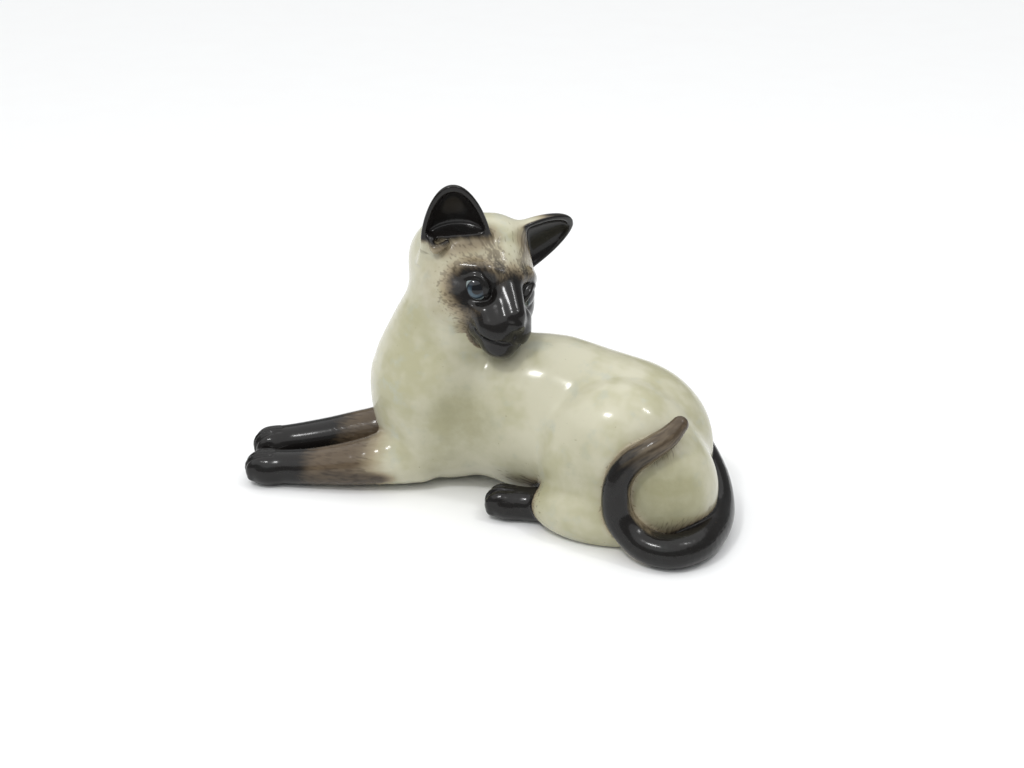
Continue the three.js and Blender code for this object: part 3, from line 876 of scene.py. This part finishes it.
def paintPoints(p):
    # where the airbrush and the liner brush went: how dark, how brown, and how many single hairs
    q = intoHead(p)
    m = np.stack([q[:, 0], np.abs(q[:, 1]), q[:, 2]], -1)
    face = smoothMin(ball(*mask["muzzle"])[0](q), ball(*mask["eyePatch"])[0](m), 4)
    face = smoothMin(face, rope(mask["bridge"], mask["bridgeRadii"], 2)[0](q), 4)
    streak = rope(mask["streak"], [2.6, 2.0, 2.2], 2)[0](m)
    earFront = rope(mask["earFront"], [2.0, 2.2, 1.6], 2)[0](m)
    crown = np.linalg.norm(q - np.array([8, 0, 15]), axis=1)
    dark = np.maximum(1 - smoothStep(-3.8, 5.6, face), 0.42 * (1 - smoothStep(-1.5, 3, earFront)))
    dark = np.maximum(dark, (1 - smoothStep(-2, 3, streak)) * (0.9 - 0.55 * smoothStep(7.5, 13, q[:, 2])))
    warm = np.maximum(1 - smoothStep(-2, 8.5, face), 0.5 * (1 - smoothStep(-1, 5, streak)))
    cheeks = (1 - smoothStep(5, 20, face)) * (1 - smoothStep(3, 9, q[:, 2])) * smoothStep(64, 76, p[:, 2])
    warm = np.maximum(warm, 0.3 * cheeks)
    warm = np.maximum(warm, 0.75 * (1 - smoothStep(-1, 8, earFront)))
    hairs = 0.75 * (1 - smoothStep(-1, 6, np.abs(face - 3)))
    hairs = np.maximum(hairs, 0.95 * (1 - smoothStep(-1, 5, streak)))
    hairs = np.maximum(hairs, 0.25 * (1 - smoothStep(4, 14, crown)))

    for ear in ears.values():
        foot, up, across, out, height = earAxes(ear)
        e = q - foot
        v, w, u = e @ up, e @ out, e @ across
        close = (np.abs(u) < 16) & (v > -5) & (v < height + 4) & (np.abs(w) < 12)
        hollow = earForms(ear)[1][0](q)
        front = np.maximum(smoothStep(-0.6, 0.9, w), 1 - smoothStep(0.2, 1.2, hollow))
        inFront = smoothStep(-3.0, 2.5, v) * front
        behind = smoothStep(*ear["dipped"], v / height) * (1 - front)
        dark = np.where(close, np.maximum(dark, np.maximum(inFront, behind)), dark)
        warm = np.where(close, np.maximum(warm, np.maximum(inFront, smoothStep(0.1, 0.7, v / height))), warm)
        hairs = np.where(close & (v < 5), np.maximum(hairs, 0.5 * front), hairs)

    centre = np.array([16, 0, -6])
    away = np.linalg.norm(q - centre, axis=1)[:, None] + 1e-6
    flow = (q - centre) / away * 11 + away / 30
    onHeadNow = (p[:, 2] > 66) | ((headForms(q) < 1.7) & (p[:, 2] > 55))
    x = p[:, 0]
    flow = np.where(onHeadNow[:, None], flow, np.stack([x / 8, p[:, 1] / 2, p[:, 2] / 2], -1))
    for k in (dark, warm, hairs):
        k[~onHeadNow] = 0

    for name, fadeDark, fadeWarm in (("left_foreleg", (-76, -54), (-50, -29)),
                                     ("right_foreleg", (-72, -46), (-46, -24))):
        limb = limbs[name]
        near = rope(limb["line"], limb["radii"])[0](p)
        on = (1 - smoothStep(0.8, 3.5, near)) * (x < -20)
        on = np.maximum(on, (x < -72))
        under = 1 - 0.35 * smoothStep(9, 2, p[:, 2]) * (name == "left_foreleg")
        dark = np.maximum(dark, on * (1 - smoothStep(*fadeDark, x)) * 1.05)
        warm = np.maximum(warm, on * under * (1 - smoothStep(*fadeWarm, x)))
        hairs = np.maximum(hairs, on * 0.6 * smoothStep(-72, -60, x) * (1 - smoothStep(-48, -34, x)))
    patch = ball((-53, -24, 6), (24, 9, 7))[0](p)
    dark = np.maximum(dark, 0.48 * (1 - smoothStep(-5, 2, patch)))
    warm = np.maximum(warm, 1 - smoothStep(-4, 3, patch))
    for name in ("left_hind_foot", "right_hind_foot"):
        limb = limbs[name]
        near = np.minimum(rope(limb["line"], limb["radii"])[0](p), ball(limb["paw"], limb["pawRadii"])[0](p))
        reach = 1 - smoothStep(22, 30, x)
        dark = np.maximum(dark, (1 - smoothStep(0.8, 3.0, near)) * reach)
        warm = np.maximum(warm, (1 - smoothStep(0, 6, near)) * reach * 0.9)
        hairs = np.maximum(hairs, (1 - smoothStep(1, 9, near)) * 0.75 * (1 - smoothStep(26, 34, x)))

    line, girth = threaded(tail["line"], tail["radii"], 4)
    far, where, offset, whole = along(p, line)
    near = far - np.interp(where, np.linspace(0, whole, len(girth)), girth)
    tip = smoothStep(whole * 0.74, whole * 0.96, where)
    rear = smoothStep(62, 74, p[:, 0])  # the hair is longer where the tail leaves the rump
    middle = smoothStep(0.25, 0.75, (0.3 * offset[:, 2] - offset[:, 1]) / (far + 1e-6))
    onSkin = 1 - smoothStep(0.4, 1.1 + rear, near)
    dark = np.maximum(dark, onSkin * (0.33 + 0.62 * np.maximum(middle, rear)) * (1 - 0.6 * tip))
    warm = np.maximum(warm, 1 - smoothStep(-0.3, 1.6 + 2.5 * rear, near))
    warm = np.maximum(warm, 0.5 * (1 - smoothStep(0, 3 + 5 * rear, near)))
    hairs = np.maximum(hairs, (1 - smoothStep(0.2, 3 + 6 * rear, near)) * (0.6 + 0.3 * rear) * (p[:, 0] > 40))
    root = rope([(82, 1, 12.5), (81, 7, 24), (75, 9, 37)], [4, 3, 1.5], 3)[0](p)
    dark = np.maximum(dark, 0.8 * (1 - smoothStep(-0.5, 3.5, root)))
    warm = np.maximum(warm, 1 - smoothStep(0, 7, root))
    around = (near < 12) & (p[:, 0] > 40)
    fringe = np.stack([where / 1.7 + near * 0.4, near / 6, far * 0], -1)
    onTail = np.concatenate([where[:, None] / 11, offset[:, 1:] / 2], -1)
    flow[around] = np.where(near[:, None] < 0.6, onTail, fringe)[around]
    # painted shade: darker olive patches, mostly under the chin, low on the belly and thigh and inside the
    # tail loop
    shade = sum(amount * np.exp(-(((p - np.array(at)) / np.array(size)) ** 2).sum(-1))
                for at, size, amount in mask["olive"])
    masks = np.stack([dark, warm, hairs], -1)
    return masks.astype(np.float32), flow.astype(np.float32), shade.astype(np.float32)


def paint(mesh):
    masks, flow, shade = paintPoints(readPoints(mesh))
    mesh.attributes.new("shade", "FLOAT", "POINT").data.foreach_set("value", shade)
    for name, values in (("paint", masks), ("hair", flow)):
        layer = mesh.attributes.new(name, "FLOAT_VECTOR", "POINT")
        layer.data.foreach_set("vector", values.ravel())


# a painted eye: a thin dome of enamel between the lids
enamel = dict(lift=0.2, thick=0.6, rings=14, spokes=48, iris=0.5, pupil=0.27)


def eyeOutline(angle):
    # the almond between the lids, as a distance from the middle
    lid = upperLid if math.sin(angle) > 0 else lowerLid
    line, _ = threaded([(a, u, 0) for a, u in lid], [0] * len(lid), 8)
    turns = np.arctan2(line[:, 1], line[:, 0]) % (2 * math.pi)
    reach = np.hypot(line[:, 0], line[:, 1])
    order = np.argsort(turns)
    return float(np.interp(angle, turns[order], reach[order], period=2 * math.pi)) - 0.05


def makeEye(name, side):
    points, marks, faces = [], [], []
    for lift in (enamel["lift"], enamel["lift"] - enamel["thick"]):
        for ring in range(enamel["rings"] + 1):
            for spoke in range(enamel["spokes"]):
                angle = 2 * math.pi * spoke / enamel["spokes"]
                share = ring / enamel["rings"]
                reach = eyeOutline(angle) * share
                a, u = reach * math.cos(angle), reach * math.sin(angle)
                edge = 0.22 * share**6 if lift > 0 else 0
                q = onEye(a, u, eye["radius"] + lift - edge)
                points.append(outOfHead((q[0], q[1] * side, q[2])))
                marks.append((a, u, share))
    layer, n = (enamel["rings"] + 1) * enamel["spokes"], enamel["spokes"]
    for level in (0, 1):
        for ring in range(enamel["rings"]):
            for spoke in range(n):
                a = level * layer + ring * n + spoke
                b = level * layer + ring * n + (spoke + 1) % n
                face = (a, b, b + n, a + n)
                faces.append(face if (level == 0) == (side > 0) else face[::-1])
    for spoke in range(n):
        a, b = enamel["rings"] * n + spoke, enamel["rings"] * n + (spoke + 1) % n
        face = (a, b, b + layer, a + layer)
        faces.append(face if side > 0 else face[::-1])
    mesh = bpy.data.meshes.new(name)
    mesh.from_pydata([tuple(p) for p in points], [], faces)
    markLayer = mesh.attributes.new("mark", "FLOAT_VECTOR", "POINT")
    markLayer.data.foreach_set("vector", np.array(marks, np.float32).ravel())
    solid = bmesh.new()
    solid.from_mesh(mesh)
    bmesh.ops.remove_doubles(solid, verts=solid.verts, dist=1e-4)
    bmesh.ops.recalc_face_normals(solid, faces=solid.faces)
    solid.to_mesh(mesh)
    solid.free()
    mesh.polygons.foreach_set("use_smooth", np.ones(len(mesh.polygons), bool))
    mesh.materials.append(eyeEnamel)
    piece = bpy.data.objects.new(name, mesh)
    bpy.context.scene.collection.objects.link(piece)
    return piece


def enamelMaterial():
    brush = Brush("eye enamel")
    split = brush.node("SeparateXYZ", {}, {0: brush.node("Attribute", {"attribute_name": "mark"}, {}, 1)})
    a, u, edge = (Tone(brush, split.socket.node.outputs[i]) for i in range(3))
    aroundIris = brush.node("CombineXYZ", {}, {0: a + 0.03, 1: u - 0.03})
    aroundPupil = brush.node("CombineXYZ", {}, {0: a + 0.05, 1: (u - 0.1) * 0.85})
    rings = brush.node("VectorMath", {"operation": "LENGTH"}, {0: aroundIris}, 1)
    pupilAway = brush.node("VectorMath", {"operation": "LENGTH"}, {0: aroundPupil}, 1)
    grain = brush.noise(brush.node("CombineXYZ", {}, {0: a * 14, 1: u * 14, 2: rings * 3}), 1.4, 3)
    iris = brush.mix((u * -1.0 + (grain - 0.5) * 0.5).ramp(-0.2, 0.5), rgb(15, 21, 30), rgb(72, 92, 104))
    iris = brush.mix(pupilAway.ramp(enamel["pupil"] + 0.05, enamel["pupil"]), iris, rgb(8, 10, 14))
    white = brush.mix(grain.ramp(0.3, 0.8), rgb(136, 146, 144), rgb(104, 116, 118))
    eyeball = brush.mix(rings.ramp(enamel["iris"], enamel["iris"] + 0.05), iris, white)
    limbus = rings.ramp(enamel["iris"] - 0.07, enamel["iris"] - 0.01)
    limbus = limbus * rings.ramp(enamel["iris"] + 0.07, enamel["iris"] + 0.01)
    eyeball = brush.mix(limbus * 0.8, eyeball, rgb(14, 18, 22))
    eyeball = brush.mix((edge + (grain - 0.5) * 0.08).ramp(0.84, 0.93), eyeball, rgb(12, 11, 11))
    return brush.finish(Base_Color=eyeball, Roughness=0.08 + grain * 0.04, Coat_Weight=0.25,
                        Coat_Roughness=0.03, IOR=1.4)


eyeEnamel = enamelMaterial()
sections = makeSections()
report("sections cast")

for name, piece in sections.items():
    mesh = piece.data
    mesh.validate()
    sameSkin(mesh, uncut[name])
    paint(mesh)
    mesh.transform(Matrix.Translation(Vector(shift)) @ Matrix.Scale(unit, 4))
    piece.name = name + "_glazed"
    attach(piece, "root")
    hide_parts(name)
    print(name, len(mesh.polygons), "faces")
for name, side in (("left_eye_enamel", 1), ("right_eye_enamel", -1)):
    piece = makeEye(name, side)
    piece.data.transform(Matrix.Translation(Vector(shift)) @ Matrix.Scale(unit, 4))
    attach(piece, "root")
report("sections finished")

# the table, the lights and the camera
studio = dict(sky=0.3, cloth=2.3, window=1.5, side=0.8)
bpy.ops.mesh.primitive_plane_add(size=4)
floor = bpy.context.object
floor.name = "floor"
paper = Brush("paper floor")
grain = paper.noise(paper.node("TexCoord", {}, {}, 3), 30, 3)
paperColor = paper.mix(grain, rgb(243, 243, 243), rgb(245, 246, 246))
floor.data.materials.append(paper.finish(Base_Color=paperColor, Roughness=0.9))

view = dict(azimuth=14, elevation=26, away=0.523, aim=(7.5, 0, 42), lens=50)
a, e = math.radians(view["azimuth"]), math.radians(view["elevation"])
back = Vector((math.sin(a) * math.cos(e), -math.cos(a) * math.cos(e), math.sin(e)))
aim = Vector(np.array(view["aim"]) * unit + shift)
camera = bpy.data.objects.new("camera", bpy.data.cameras.new("camera"))
bpy.context.scene.collection.objects.link(camera)
camera.data.lens, camera.data.sensor_width, camera.data.clip_start = view["lens"], 36, 0.01
camera.location = aim + back * view["away"]
camera.rotation_mode = "QUATERNION"
camera.rotation_quaternion = (-back).to_track_quat("-Z", "Y")
bpy.context.scene.camera = camera

world = bpy.data.worlds.new("studio")
bpy.context.scene.world = world
world.use_nodes = True
world.node_tree.nodes["Background"].inputs[0].default_value = (0.97, 0.99, 1, 1)
world.node_tree.nodes["Background"].inputs[1].default_value = studio["sky"]


def addLight(name, kind, energy, toward, away=0.0, **settings):
    light = bpy.data.lights.new(name, kind)
    light.energy = energy
    for key, value in settings.items():
        setattr(light, key, value)
    lamp = bpy.data.objects.new(name, light)
    bpy.context.scene.collection.objects.link(lamp)
    lamp.location = aim + Vector(toward).normalized() * away
    lamp.rotation_mode = "QUATERNION"
    lamp.rotation_quaternion = Vector(toward).to_track_quat("Z", "Y")


addLight("overhead cloth", "SUN", studio["cloth"], (-0.15, -0.1, 1), 1, angle=math.radians(110))
addLight("front window", "AREA", studio["window"], (-0.2, -0.55, 0.85), 0.8,
         shape="RECTANGLE", size=0.11, size_y=0.08)
addLight("side window", "AREA", studio["side"], (0.55, -0.1, 0.9), 0.8,
         shape="RECTANGLE", size=0.07, size_y=0.12)
bpy.context.scene.view_settings.view_transform = "Standard"
